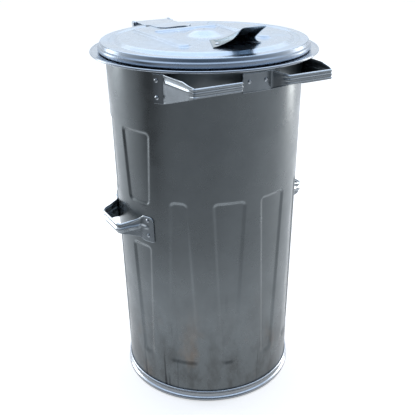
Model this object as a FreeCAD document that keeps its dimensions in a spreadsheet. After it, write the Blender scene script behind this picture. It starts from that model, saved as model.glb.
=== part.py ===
import FreeCAD, Part
import math
import os
import Sketcher
from FreeCAD import Vector

# Galvanized refuse bin with a hinged lid. Millimetres and degrees.
# The origin is on the floor, on the axis of the barrel. +Z is up and the front is towards -Y.
# A bearing is the angle round the barrel, counted from the front towards +X.

os.makedirs("parts", exist_ok=True)
doc = FreeCAD.newDocument("refuse_bin")

DIMENSIONS = [
    # barrel
    ("foot_radius", 201.9, "outer radius of the barrel at the floor"),
    ("mouth_radius", 219.0, "outer radius of the barrel at its mouth"),
    ("mouth_height", 809.0, "height of the barrel's upper edge"),
    ("shell_lift", 3.2, "height of the barrel's lower edge"),
    ("sheet", 1.0, "thickness of barrel, bottom and lid"),
    ("seat_gap", 0.15, "gap between pieces that lie on each other"),
    ("skirt_gap", 0.35, "gap between the barrel and the collar's skirt"),
    # flutes
    ("flute_depth", 4.0, "depth of the pressed flutes"),
    ("flute_corner", 10.0, "corner radius of the flutes"),
    ("flute_low", 105.0, "lower end of the long flutes"),
    ("flute_high", 520.0, "upper end of the long flutes"),
    ("narrowing_wide", 35.0, "half width of a narrowing flute at its upper end"),
    ("narrowing_slim", 15.3, "half width of a narrowing flute at its lower end"),
    ("widening_slim", 17.6, "half width of a widening flute at its upper end"),
    ("widening_wide", 36.0, "half width of a widening flute at its lower end"),
    ("narrowing_bearing", 15.0, "bearing of the narrowing flutes"),
    ("widening_bearing", 45.0, "bearing of the widening flutes"),
    ("short_bearing", 73.0, "bearing of the flutes beside the handle feet"),
    ("short_high", 400.0, "upper end of the flute below a handle foot"),
    ("short_slim", 14.3, "its half width at the lower end"),
    ("short_wide", 28.0, "its half width at the upper end"),
    ("upper_low", 504.0, "lower end of the flute above a handle foot"),
    ("upper_high", 668.0, "upper end of that flute"),
    ("upper_slim", 30.8, "its half width at the lower end"),
    ("upper_wide", 41.0, "its half width at the upper end"),
    # bottom
    ("bottom_height", 20.0, "height of the bottom plate's underside"),
    ("bottom_edge", 5.0, "height of the bottom plate's turned-down edge"),
    ("bottom_bend", 6.0, "outer bend radius of the bottom plate"),
    # foot ring
    ("hoop_sheet", 1.5, "thickness of the foot ring"),
    ("hoop_height", 25.5, "height of the foot ring's upper bead"),
    ("hoop_web_low", 5.0, "height at which the foot ring's web starts"),
    ("foot_bead", 6.0, "radius of the foot ring's lower bead"),
    ("foot_bead_out", 1.1, "distance of that bead's centre outside the barrel"),
    ("foot_flat", 0.3, "depth of the flat under the lower bead"),
    ("upper_bead", 2.5, "radius of the foot ring's upper bead"),
    ("upper_bead_out", 2.0, "distance of that bead's centre outside the barrel"),
    # collar and neck
    ("collar_sheet", 1.2, "thickness of the collar and the neck"),
    ("collar_radius", "=mouth_radius + 33.3", "outer radius of the collar's rolled lip"),
    ("lip_bead", 2.6, "radius of the rolled lip"),
    ("collar_skirt", 17.0, "depth of the collar's skirt inside the barrel"),
    ("neck_skirt", 14.0, "depth of the neck inside the barrel"),
    ("neck_bead", 2.0, "radius of the neck's curled edge"),
    ("lid_rest_gap", 0.3, "gap between the neck's curled edge and the shut lid"),
    # rivets
    ("shank", 2.4, "radius of a rivet's shank"),
    ("rivet_head", 4.5, "radius of a rivet's head"),
    ("rivet_rise", 2.4, "height of a rivet's head"),
    ("rivet_tail", 3.8, "radius of a rivet's formed tail"),
    ("tail_rise", 1.2, "height of the formed tail"),
    ("hole_gap", 0.1, "gap between a shank and its hole"),
    ("head_gap", 0.05, "gap under a rivet's head"),
    ("tail_gap", 0.2, "gap under a rivet's formed tail"),
    # front lifting strip
    ("strip", 2.0, "thickness of the lifting strip"),
    ("strip_low", "=mouth_height - 73", "lower edge of the strip's side plates"),
    ("strip_high", "=mouth_height - 12", "upper edge of the strip"),
    ("middle_low", "=mouth_height - 52", "lower edge of the strip's middle plate"),
    ("strip_end", 56.4, "bearing of the strip's ends"),
    ("inner_root", 33.0, "distance from the middle at which a loop leaves the barrel"),
    ("inner_corner", 54.5, "distance from the middle to a bar's inner corner"),
    ("outer_corner", 160.0, "distance from the middle to a bar's outer corner"),
    ("outer_root", 168.0, "distance from the middle at which a loop comes back"),
    ("outer_root_depth", "=sqrt(mouth_radius^2 - outer_root^2) + 0.012",
     "distance of that root in front of the axis"),
    ("bar_depth", "=mouth_radius + 31", "distance of the bars' inner faces in front of the axis"),
    ("bar_low", "=mouth_height - 39", "lower edge of the bars"),
    ("bar_high", "=mouth_height - 19", "upper edge of the bars"),
    ("bar_slope_start", "=bar_depth - 39", "distance in front at which the sides drop to the bar"),
    ("bar_bend", 8.0, "bend radius of the loops"),
    ("arm_split", 148.0, "where the bars end and the side arms start"),
    ("arm_tuck", 0.4, "share of an arm drawn on into the barrel and trimmed"),
    ("strip_rivet_bearing", 54.5, "bearing of the rivets in the side plates"),
    ("strip_rivet_high", "=mouth_height - 25", "height of the upper rivet in a side plate"),
    ("strip_rivet_low", "=mouth_height - 60", "height of the lower rivet in a side plate"),
    ("middle_rivet_bearing", 5.0, "bearing of the rivets in the middle plate"),
    ("middle_rivet_height", "=mouth_height - 29", "height of the rivets in the middle plate"),
    # side handles
    ("grip_reach", "=foot_radius + (mouth_radius - foot_radius) * grip_low / mouth_height + 39.032",
     "distance of a grip's inner face from the axis"),
    ("grip_half", 50.0, "half length of a grip between its bends"),
    ("grip_root", 60.0, "half distance between a handle's roots on the barrel"),
    ("grip_bend", 20.0, "bend radius of a handle"),
    ("grip_low", 429.0, "lower edge of a grip"),
    ("grip_high", 455.0, "upper edge of a grip"),
    ("foot_low", 414.0, "lower edge of a handle's feet"),
    ("foot_high", 476.0, "upper edge of a handle's feet"),
    ("foot_end", 102.0, "half distance between the ends of a handle's feet"),
    ("foot_corner", 10.0, "corner radius of a handle's feet"),
    ("foot_rivet_bearing", 24.0, "bearing of a foot's rivets from the grip's middle"),
    ("foot_rivet_high", 466.0, "height of the upper rivet in a foot"),
    ("foot_rivet_low", 430.0, "height of the lower rivet in a foot"),
    # lid
    ("rim_low", "=mouth_height + 3", "lower edge of the lid"),
    ("rim_bead", "=mouth_radius + 15.5", "outer radius of the lid's bead"),
    ("bead_low", "=rim_low + 3", "lower end of the lid's bead"),
    ("bead_high", "=rim_low + 10", "upper end of the lid's bead"),
    ("rim_curl", 2.0, "amount by which the lid's lower edge is rolled in"),
    ("wall_foot", "=rim_bead - 3.5", "radius of the lid's wall above the bead"),
    ("wall_low", "=rim_low + 13", "height of that place"),
    ("rim_radius", "=rim_bead - 6.5", "radius of the lid's upper edge"),
    ("lid_top", "=rim_low + 20.5", "height of the ring round the lid's top"),
    ("rim_bend", 3.0, "bend radius of the lid's upper edge"),
    ("ring_inner", "=rim_bead - 23.5", "inner radius of that ring"),
    ("groove_outer", "=rim_bead - 26.5", "outer radius of the groove inside the ring"),
    ("groove_inner", "=rim_bead - 36.5", "inner radius of the groove"),
    ("groove_level", "=rim_low + 18", "height of the groove's floor"),
    ("panel_radius", "=rim_bead - 48.5", "radius of the lid's raised panel"),
    ("panel_edge", "=rim_low + 24", "height of the panel at its edge"),
    ("panel_peak", "=rim_low + 26", "height of the panel at the foot of the dome"),
    ("dome_radius", 48.0, "radius of the centre dome"),
    ("dome_flat", 14.0, "radius of the dome's flat top"),
    ("dome_top", "=rim_low + 38", "height of the dome"),
    ("rib_offset", 98.0, "distance of the long ribs from the middle"),
    ("rib_half", 13.0, "half width of a long rib"),
    ("rib_front", 105.0, "reach of the long ribs in front of the axis"),
    ("rib_rear", 145.0, "reach of the long ribs behind the axis"),
    ("rib_top", "=rim_low + 29", "height of the ribs"),
    ("cross_rib", 86.0, "distance of the cross rib behind the axis"),
    ("cross_half", 7.0, "half width of the cross rib"),
    ("cross_reach", 80.0, "half length of the cross rib"),
    # lid handle
    ("pull_sheet", 1.5, "thickness of the lid handle"),
    ("pull_rear", 66.0, "distance in front of the axis at which the handle starts"),
    ("pull_front", 141.0, "distance in front of the axis of the feet's front edge"),
    ("pull_rise", 44.5, "height of the handle's hollow"),
    ("pull_lean", 1.42, "forward lean of the handle for each unit of height"),
    ("pull_slim", 18.0, "half width of the hollow at the rear"),
    ("pull_wide", 25.0, "half width of the hollow at the front"),
    ("pull_foot_slim", 24.0, "half width of the feet at the rear"),
    ("pull_foot_wide", 57.0, "half width of the feet at the front"),
    ("pull_rivet_side", 33.0, "distance of the handle's rivets from the middle"),
    ("pull_rivet_front", 115.0, "distance of those rivets in front of the axis"),
    # hinge
    ("strap", 2.0, "thickness of the hinge strap"),
    ("strap_half", 45.0, "half width of the hinge strap"),
    ("strap_front", 124.0, "distance of the strap's front edge behind the axis"),
    ("strap_corner", 30.0, "radius of the strap's front corners"),
    ("strap_bend", 20.0, "bend radius of the strap"),
    ("strap_landing", "=rim_radius - 16", "distance behind the axis at which it meets the rim"),
    ("pin_reach", "=collar_radius + 21.7", "distance of the hinge pin behind the axis"),
    ("pin_radius", 4.0, "radius of the hinge pin"),
    ("pin_play", 0.08, "running gap round the hinge pin"),
    ("pin_head", 6.0, "radius of the pin's head"),
    ("pin_head_rise", 2.5, "thickness of the pin's head"),
    ("pin_tail", 8.0, "length of the pin outside the ear"),
    ("washer", 1.3, "thickness of a washer"),
    ("washer_radius", 7.0, "outer radius of a washer"),
    ("side_play", 0.15, "play beside the washers and the pin's head"),
    ("cotter", 1.2, "radius of the split pin"),
    ("cotter_drop", 8.0, "length of the split pin in front of the hinge pin's middle"),
    ("cotter_eye", 2.6, "radius of the split pin's eye"),
    ("ear", 3.0, "thickness of the hinge bracket"),
    ("ear_low", "=mouth_height - 81", "lower edge of the ears"),
    ("ear_foot", "=mouth_radius + 9", "reach of the ears behind the axis at their lower edge"),
    ("ear_half", 10.0, "half width of an ear round the pin"),
    ("ear_rise", 7.5, "height of an ear above the pin"),
    ("ear_shoulder", "=mouth_height - 9", "height of the ears under the collar"),
    ("ear_corner", 7.0, "corner radius of the ears"),
    ("ear_step", 14.0, "height below the pin at which the ears slope in"),
    ("plate_low", "=mouth_height - 87", "lower edge of the bracket's plate"),
    ("plate_high", "=mouth_height - 25", "upper edge of the bracket's plate"),
    ("bracket_rivet_bearing", 8.0, "bearing of the bracket's rivets from the rear"),
    ("bracket_rivet_low", "=mouth_height - 74", "height of the bracket's lower rivets"),
    ("bracket_rivet_high", "=mouth_height - 39", "height of the bracket's upper rivets"),
]

dims = doc.addObject("Spreadsheet::Sheet", "dims")
for row, (alias, value, meaning) in enumerate(DIMENSIONS, 1):
    dims.set(f"A{row}", meaning)
    dims.setAlias(f"B{row}", alias)
for row, (alias, value, meaning) in enumerate(DIMENSIONS, 1):
    dims.set(f"B{row}", str(value))
doc.recompute()

OVERRUN = "5"      # how far a cutting tool runs past the face that it cuts
FAR = "(dims.mouth_radius + 81)"      # beyond every piece of the bin, measured from the axis
REAR = "180"       # bearing of the hinge


# ---------------------------------------------------------------- sketches and features

def number(expression):
    """The value of an expression of the sheet's cells."""
    value = dims.evalExpression(expression.replace("dims.", ""))
    return float(getattr(value, "Value", value))


def bind(thing, sizes):
    for name, expression in sizes.items():
        thing.setExpression(name, expression)
    return thing


def origin_plane(body, role):
    for feature in body.Origin.OriginFeatures:
        if feature.Role == role:
            return feature


def at_corner(geometry, position, corner):
    """Rules that hold a point at a corner, whose coordinates are expressions."""
    rules = []
    for kind, axis, expression in (("DistanceX", -2, corner[0]), ("DistanceY", -1, corner[1])):
        value = number(expression)
        if value == 0:
            rules.append((Sketcher.Constraint("PointOnObject", geometry, position, axis), None))
        else:
            rule = Sketcher.Constraint(kind, -1, 1, geometry, position, value)
            rules.append((rule, expression))
    return rules


def draw(sketch, corners, closed=True):
    """Lines through the corners. A corner with a third entry is rounded by that radius."""
    count = len(corners)
    places = [Vector(number(corner[0]), number(corner[1]), 0) for corner in corners]
    arrive = list(places)
    leave = list(places)
    for index, corner in enumerate(corners):
        if len(corner) == 3:
            back = (places[index - 1] - places[index]).normalize()
            onward = (places[(index + 1) % count] - places[index]).normalize()
            tangent = number(corner[2]) / math.tan(back.getAngle(onward) / 2)
            arrive[index] = places[index] + back * tangent
            leave[index] = places[index] + onward * tangent
    lines = []
    for index in range(count if closed else count - 1):
        segment = Part.LineSegment(leave[index], arrive[(index + 1) % count])
        lines.append(sketch.addGeometry(segment, False))
    rules = []
    for index, corner in enumerate(corners):
        if not closed and index == count - 1:
            rules += at_corner(lines[-1], 2, corner)
        elif len(corner) == 2:
            rules += at_corner(lines[index], 1, corner)
            if closed or index > 0:
                meet = Sketcher.Constraint("Coincident", lines[index - 1], 2, lines[index], 1)
                rules.append((meet, None))
        else:
            rules += round_corner(sketch, lines[index - 1], lines[index], corner, places[index],
                                  arrive[index], leave[index])
    first = sketch.ConstraintCount
    sketch.addConstraint([rule for rule, expression in rules])
    for index, (rule, expression) in enumerate(rules, first):
        if expression is not None:
            sketch.setExpression(f"Constraints[{index}]", expression)
    return sketch


def round_corner(sketch, before, after, corner, place, start, end):
    """An arc tangent to two lines, whose meeting point is held at the corner."""
    radius = number(corner[2])
    inward = ((start + end) * 0.5 - place).normalize()
    centre = place + inward * math.hypot((start - place).Length, radius)
    # arcs run counter-clockwise in a sketch
    first = 1 if (start - centre).cross(end - centre).z > 0 else 2
    ends = (start, end) if first == 1 else (end, start)
    curve = Part.Arc(ends[0], centre - inward * radius, ends[1])
    arc = sketch.addGeometry(curve, False)
    point = sketch.addGeometry(Part.Point(place), True)
    return at_corner(point, 1, corner) + [
        (Sketcher.Constraint("PointOnObject", point, 1, before), None),
        (Sketcher.Constraint("PointOnObject", point, 1, after), None),
        (Sketcher.Constraint("Tangent", before, 2, arc, first), None),
        (Sketcher.Constraint("Tangent", arc, 3 - first, after, 1), None),
        (Sketcher.Constraint("Radius", arc, radius), corner[2])]


TURN_TO_PLANE = {
    "XY": "rotation(vector(0; 0; 1); 0)",
    "XZ": "rotation(vector(1; 0; 0); 90)",      # drawn to the right and up, normal towards -Y
    "YZ": "rotation(vector(1; 1; 1); 120)",     # drawn to the rear and up, normal towards +X
}


def free_sketch(name, plane, corners, start, closed=True):
    """A sketch on a main plane, moved from it by start along its normal."""
    sketch = doc.addObject("Sketcher::SketchObject", name)
    place = {"XY": f"vector(0; 0; {start})", "XZ": f"vector(0; -({start}); 0)",
             "YZ": f"vector({start}; 0; 0)"}[plane]
    draw(sketch, corners, closed)
    return bind(sketch, {"Placement": f"placement({place}; {TURN_TO_PLANE[plane]})"})


def extruded(name, base, length):
    slab = doc.addObject("Part::Extrusion", name)
    slab.Base = base
    slab.DirMode = "Normal"
    slab.Solid = True
    return bind(slab, {"LengthFwd": length})


def slab(name, plane, corners, start, end):
    """A closed outline, extruded along its plane's normal from start to end."""
    outline = free_sketch(name + "_outline", plane, corners, start)
    return extruded(name, outline, f"({end}) - ({start})")


def bent_strip(name, plane, corners, start, end, thickness):
    """A strip of sheet, standing on an open path, with its thickness on the path's outside."""
    path = free_sketch(name + "_path", plane, corners, start, closed=False)
    section = doc.addObject("Part::Offset2D", name + "_section")
    section.Source = path
    section.Mode = "Skin"
    section.Join = "Arc"
    section.Fill = True
    bind(section, {"Value": thickness})
    doc.recompute()
    return extruded(name, section, f"({end}) - ({start})")


def turned(name, corners):
    """A body: a closed section in the XZ plane, turned about Z."""
    body = doc.addObject("PartDesign::Body", name)
    sketch = body.newObject("Sketcher::SketchObject", name + "_section")
    sketch.AttachmentSupport = (origin_plane(body, "XZ_Plane"), [""])
    sketch.MapMode = "FlatFace"
    draw(sketch, corners)
    turn = body.newObject("PartDesign::Revolution", name + "_turn")
    turn.Profile = sketch
    turn.ReferenceAxis = (sketch, ["V_Axis"])
    turn.Angle = 360
    body.Tip = turn
    return body


def cut(name, base, tool):
    result = doc.addObject("Part::Cut", name)
    result.Base = base
    result.Tool = tool
    return result


def common(name, base, tool):
    result = doc.addObject("Part::Common", name)
    result.Base = base
    result.Tool = tool
    return result


def fuse(name, *shapes):
    result = doc.addObject("Part::MultiFuse", name)
    result.Shapes = list(shapes)
    return result


def mirrored(name, source):
    """The same piece on the other side of the YZ plane."""
    result = doc.addObject("Part::Mirroring", name)
    result.Source = source
    result.Base = Vector(0, 0, 0)
    result.Normal = Vector(1, 0, 0)
    return result


def cylinder(name, radius, low, high, placement=None):
    result = doc.addObject("Part::Cylinder", name)
    if placement is None:
        placement = f"placement(vector(0; 0; {low}); rotation(vector(0; 0; 1); 0))"
    return bind(result, {"Radius": radius, "Height": f"({high}) - ({low})", "Placement": placement})


def torus(name, ring_radius, bead_radius, height):
    result = doc.addObject("Part::Torus", name)
    return bind(result, {"Radius1": ring_radius, "Radius2": bead_radius,
                         "Placement.Base.z": height})


def copies(name, source, placements):
    """One node with a copy of the source at each placement."""
    links = []
    for index, placement in enumerate(placements):
        link = doc.addObject("App::Link", f"{name}_{index}")
        link.LinkedObject = source
        links.append(bind(link, {"Placement": placement}))
    result = doc.addObject("Part::Compound", name)
    result.Links = links
    return result


# ---------------------------------------------------------------- places on the barrel

def shell_radius(height):
    """Outer radius of the tapered barrel at a height."""
    taper = "(dims.mouth_radius - dims.foot_radius) / dims.mouth_height"
    return f"(dims.foot_radius + {taper} * ({height}))"


def on_barrel(bearing, height, offset="0"):
    """Placement on the barrel's outer face, with local Z square to the face and outwards."""
    radius = f"({shell_radius(height)} + {offset})"
    lean = "atan((dims.mouth_radius - dims.foot_radius) / dims.mouth_height)"
    point = f"vector({radius} * sin({bearing}); -{radius} * cos({bearing}); {height})"
    turn = f"rotation(vector(0; 0; 1); {bearing}) * rotation(vector(1; 0; 0); 90 deg + {lean})"
    return f"placement({point}; {turn})"


def upright(x, y, height):
    return f"placement(vector({x}; {y}; {height}); rotation(vector(0; 0; 1); 0))"


def barrel_cone(name, low, high, offset):
    """The solid inside the barrel's outer face, moved out by offset."""
    cone = doc.addObject("Part::Cone", name)
    return bind(cone, {"Radius1": f"{shell_radius(low)} + {offset}",
                       "Radius2": f"{shell_radius(high)} + {offset}",
                       "Height": f"({high}) - ({low})",
                       "Placement.Base.z": low})


def barrel_band(name, low, high, inner, outer):
    """A band that follows the barrel's taper, between two offsets from its outer face."""
    solid = barrel_cone(name + "_outside", low, high, outer)
    hollow = barrel_cone(name + "_inside", f"{low} - {OVERRUN}", f"{high} + {OVERRUN}", inner)
    return cut(name, solid, hollow)


def sector(name, first, last, low, high):
    """A wedge of space between two bearings."""
    corners = [("0", "0"),
               (f"{FAR} * sin({first})", f"-{FAR} * cos({first})"),
               (f"{FAR} * sin({last})", f"-{FAR} * cos({last})")]
    return slab(name, "XY", corners, low, high)


# ---------------------------------------------------------------- rivets

def rivet(name, grip):
    """A rivet through a stack of that grip, with local Z outwards from under its head."""
    reach = f"({grip} + dims.tail_gap)"
    crown = "dims.rivet_head * 0.55"
    corners = [("0", f"-{reach} - dims.tail_rise"),
               ("dims.rivet_tail", f"-{reach} - dims.tail_rise"),
               ("dims.rivet_tail", f"-{reach}"),
               ("dims.shank", f"-{reach}"),
               ("dims.shank", "0"),
               ("dims.rivet_head", "0"),
               ("dims.rivet_head", "dims.rivet_rise * 0.3"),
               (crown, "dims.rivet_rise"),
               ("0", "dims.rivet_rise")]
    return turned(name, corners)


def drills(name, placements):
    """Round cutters for the rivets' holes, along local Z at each placement."""
    drill = cylinder(name + "_drill", "dims.shank + dims.hole_gap", "-2 * " + OVERRUN, OVERRUN,
                     upright("0", "0", "-2 * " + OVERRUN))
    centred = doc.addObject("Part::Compound", name + "_centred")
    centred.Links = [drill]
    return copies(name, centred, placements)


def barrel_rivets(name, plate, spots):
    """Rivets that hold a plate of that thickness on the barrel, and the cutters for them."""
    grip = f"({plate} + dims.seat_gap + dims.sheet + dims.head_gap)"
    lift = f"(dims.seat_gap + {plate} + dims.head_gap)"
    places = [on_barrel(bearing, height, lift) for bearing, height in spots]
    group = copies(name, rivet(name + "_one", grip), places)
    return group, drills(name + "_holes", places)


strip_spots = []
for side in ("", "-"):
    strip_spots.append((side + "dims.strip_rivet_bearing", "dims.strip_rivet_high"))
    strip_spots.append((side + "dims.strip_rivet_bearing", "dims.strip_rivet_low"))
    strip_spots.append((side + "dims.middle_rivet_bearing", "dims.middle_rivet_height"))
strip_rivets, strip_holes = barrel_rivets("lifting_strip_rivets", "dims.strip", strip_spots)

handle_rivets = {}
handle_holes = {}
for side, middle in (("left", "-90"), ("right", "90")):
    foot_spots = []
    for turn in ("+", "-"):
        for height in ("dims.foot_rivet_high", "dims.foot_rivet_low"):
            foot_spots.append((f"({middle} {turn} dims.foot_rivet_bearing)", height))
    handle_rivets[side], handle_holes[side] = barrel_rivets(
        side + "_handle_rivets", "dims.strip", foot_spots)

bracket_spots = []
for turn in ("+", "-"):
    for height in ("dims.bracket_rivet_high", "dims.bracket_rivet_low"):
        bracket_spots.append((f"({REAR} {turn} dims.bracket_rivet_bearing)", height))
bracket_rivets, bracket_holes = barrel_rivets("hinge_bracket_rivets", "dims.ear", bracket_spots)


# ---------------------------------------------------------------- barrel

def flute(name, bearing, low, high, half_low, half_high, grow):
    """A tapered cutter with rounded ends for one pressed flute, made larger by grow."""
    wedge = doc.addObject("Part::Wedge", name + "_block")
    bind(wedge, {"Xmin": f"-({half_low} + {grow})", "Xmax": f"{half_low} + {grow}",
                 "X2min": f"-({half_high} + {grow})", "X2max": f"{half_high} + {grow}",
                 "Ymin": f"{low} - {grow}", "Ymax": f"{high} + {grow}",
                 "Zmin": "dims.foot_radius / 2", "Z2min": "dims.foot_radius / 2",
                 "Zmax": FAR, "Z2max": FAR})
    doc.recompute()
    corner = number(f"dims.flute_corner + {grow}")
    rounded = doc.addObject("Part::Fillet", name)
    rounded.Base = wedge
    rounded.Edges = [(index + 1, corner, corner) for index, edge in enumerate(wedge.Shape.Edges)
                     if abs(edge.tangentAt(0).z) > 0.99]
    turn = f"rotation(vector(0; 0; 1); {bearing}) * rotation(vector(1; 0; 0); 90)"
    return bind(rounded, {"Placement": f"placement(vector(0; 0; 0); {turn})"})


def flutes(name, grow):
    """All the flutes, alike on the four quarters of the barrel."""
    cutters = []
    for mirror in ("", "-"):
        for start, step in (("", ""), ("180 - ", "rear_")):
            side = ("right_" if mirror == "" else "left_") + step
            for kind, sizes in (
                ("narrowing", ("dims.narrowing_bearing", "dims.flute_low", "dims.flute_high",
                               "dims.narrowing_slim", "dims.narrowing_wide")),
                ("widening", ("dims.widening_bearing", "dims.flute_low", "dims.flute_high",
                              "dims.widening_wide", "dims.widening_slim")),
                ("short", ("dims.short_bearing", "dims.flute_low", "dims.short_high",
                           "dims.short_slim", "dims.short_wide")),
                ("upper", ("dims.short_bearing", "dims.upper_low", "dims.upper_high",
                           "dims.upper_slim", "dims.upper_wide")),
            ):
                bearing = f"{mirror}({start}{sizes[0]})"
                cutters.append(flute(name + "_" + side + kind, bearing, *sizes[1:], grow))
    return fuse(name, *cutters)


def fluted_form(name, offset, grow, low, high):
    """The barrel's outer face moved by offset, with the flutes pressed in."""
    band = barrel_band(name + "_band", "dims.flute_low / 2", "dims.upper_high + dims.flute_low / 2",
                       f"{offset} - dims.flute_depth", OVERRUN)
    pressed = common(name + "_pressed", flutes(name + "_flutes", grow), band)
    return cut(name, barrel_cone(name + "_cone", low, high, offset), pressed)


def make_body_shell():
    outside = fluted_form("shell_outside", "0", "0", "dims.shell_lift", "dims.mouth_height")
    inside = fluted_form("shell_inside", "-dims.sheet", "dims.sheet",
                         f"dims.shell_lift - {OVERRUN}", f"dims.mouth_height + {OVERRUN}")
    barrel = cut("barrel", outside, inside)
    holes = fuse("barrel_holes", strip_holes, handle_holes["left"], handle_holes["right"],
                 bracket_holes)
    return cut("body_shell", barrel, holes)


def make_bottom_plate():
    """A disc whose edge is turned down inside the barrel."""
    def edge(height):
        return f"{shell_radius(height)} - dims.sheet - dims.seat_gap"
    top = "dims.bottom_height + dims.sheet"
    corners = [("0", "dims.bottom_height"),
               ("0", top),
               (edge(top), top, "dims.bottom_bend"),
               (edge("dims.bottom_edge"), "dims.bottom_edge"),
               (edge("dims.bottom_edge") + " - dims.sheet", "dims.bottom_edge"),
               (edge(top) + " - dims.sheet", "dims.bottom_height",
                "dims.bottom_bend - dims.sheet")]
    return turned("bottom_plate", corners)


def make_base_ring():
    """A hoop round the barrel's foot: a beaded sheet that curls under the barrel's edge."""
    bead_height = "dims.foot_bead - dims.foot_flat"
    bead_ring = f"{shell_radius(bead_height)} + dims.foot_bead_out"
    top_ring = f"{shell_radius('dims.hoop_height')} + dims.upper_bead_out"
    face = "dims.seat_gap + dims.hoop_sheet"
    form = fuse("hoop_form",
                barrel_cone("hoop_web", "dims.hoop_web_low", "dims.hoop_height", face),
                torus("hoop_foot_bead", bead_ring, "dims.foot_bead", bead_height),
                torus("hoop_upper_bead", top_ring, "dims.upper_bead", "dims.hoop_height"))
    hollow = fuse("hoop_hollow",
                  barrel_cone("hoop_seat", "dims.shell_lift - dims.seat_gap",
                              f"dims.hoop_height + {OVERRUN}", "dims.seat_gap"),
                  torus("hoop_foot_hollow", bead_ring, "dims.foot_bead - dims.hoop_sheet",
                        bead_height),
                  cylinder("hoop_floor", FAR, f"-{OVERRUN}", "0"))
    return cut("base_ring", form, hollow)


# ---------------------------------------------------------------- mouth

def make_collar_ring():
    """A flange on the barrel's edge, with a rolled lip and a skirt inside the barrel."""
    deck = "(dims.mouth_height + dims.seat_gap)"
    skirt_face = "-dims.sheet - dims.skirt_gap"
    lip_ring = "dims.collar_radius - dims.lip_bead"
    skirt_low = "dims.mouth_height - dims.collar_skirt"
    deck_top = f"{deck} + dims.collar_sheet"
    form = fuse("collar_form",
                barrel_cone("collar_skirt_form", skirt_low, deck_top, skirt_face),
                cylinder("collar_deck", lip_ring, deck, deck_top),
                torus("collar_lip", lip_ring, "dims.lip_bead",
                      f"{deck} + dims.collar_sheet / 2"))
    bore = barrel_cone("collar_bore", f"{skirt_low} - {OVERRUN}", f"{deck_top} + {OVERRUN}",
                       f"{skirt_face} - dims.collar_sheet")
    return cut("collar_ring", form, bore)


def make_neck_ring():
    """A band inside the collar, with a curled edge on which the lid rests."""
    face = "-dims.sheet - dims.skirt_gap - dims.seat_gap - dims.collar_sheet"
    low = "dims.mouth_height - dims.neck_skirt"
    curl_height = "dims.lid_top - dims.sheet - dims.lid_rest_gap - dims.neck_bead"
    curl_ring = f"{shell_radius(curl_height)} + ({face}) - 1.05 * dims.neck_bead"
    band = barrel_band("neck_band", low, curl_height, f"{face} - dims.collar_sheet", face)
    return fuse("neck_ring", band, torus("neck_curl", curl_ring, "dims.neck_bead", curl_height))


# ---------------------------------------------------------------- front lifting strip

def make_lifting_strip():
    """Plates riveted to the barrel, and two loops that stand out in front of it."""
    def tucked(root, corner):
        return f"(1 + dims.arm_tuck) * ({root}) - dims.arm_tuck * ({corner})"
    front = "-dims.bar_depth"
    path = [(tucked("dims.inner_root", "dims.inner_corner"),
             tucked("-dims.mouth_radius", front)),
            ("dims.inner_corner", front, "dims.bar_bend"),
            ("dims.outer_corner", front, "dims.bar_bend"),
            (tucked("dims.outer_root", "dims.outer_corner"),
             tucked("-dims.outer_root_depth", front))]
    loop = bent_strip("strip_loop", "XY", path, "dims.strip_low", "dims.strip_high", "dims.strip")
    side_start = "asin((dims.outer_root - dims.strip / 2) / dims.mouth_radius)"
    middle_end = "asin((dims.inner_root + dims.strip / 2) / dims.mouth_radius)"
    reach = fuse("strip_reach",
                 sector("strip_middle", "0", middle_end, "dims.strip_low", "dims.strip_high"),
                 sector("strip_side", side_start, "dims.strip_end",
                        "dims.strip_low", "dims.strip_high"))
    band = barrel_band("strip_band", "dims.strip_low", "dims.strip_high",
                       "dims.seat_gap", "dims.seat_gap + dims.strip")
    plates = common("strip_plates", band, reach)
    inside = barrel_cone("strip_inside", f"dims.strip_low - {OVERRUN}",
                         f"dims.strip_high + {OVERRUN}", "dims.seat_gap")
    whole = fuse("strip_whole", cut("strip_arms", loop, inside), plates)

    front_view = [("0", "dims.middle_low"), ("dims.inner_root", "dims.middle_low"),
                  ("dims.inner_corner", "dims.bar_low"), ("dims.arm_split", "dims.bar_low"),
                  ("dims.arm_split", "dims.bar_high"), ("dims.inner_corner", "dims.bar_high"),
                  ("dims.inner_root", "dims.strip_high"), ("0", "dims.strip_high")]
    side_view = [(f"-{FAR}", "dims.bar_low"), (front, "dims.bar_low"),
                 ("-dims.outer_root_depth", "dims.strip_low"), ("0", "dims.strip_low"),
                 ("0", "dims.strip_high"), ("-dims.bar_slope_start", "dims.strip_high"),
                 (front, "dims.bar_high"), (f"-{FAR}", "dims.bar_high")]
    shape = fuse("strip_shape",
                 slab("strip_front_view", "XZ", front_view, "0", FAR),
                 slab("strip_side_view", "YZ", side_view, "dims.arm_split", FAR))
    half = common("strip_half", whole, shape)
    both = fuse("strip_both", half, mirrored("strip_other_half", half))
    return cut("lifting_strip", both, strip_holes)


# ---------------------------------------------------------------- side handles

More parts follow.
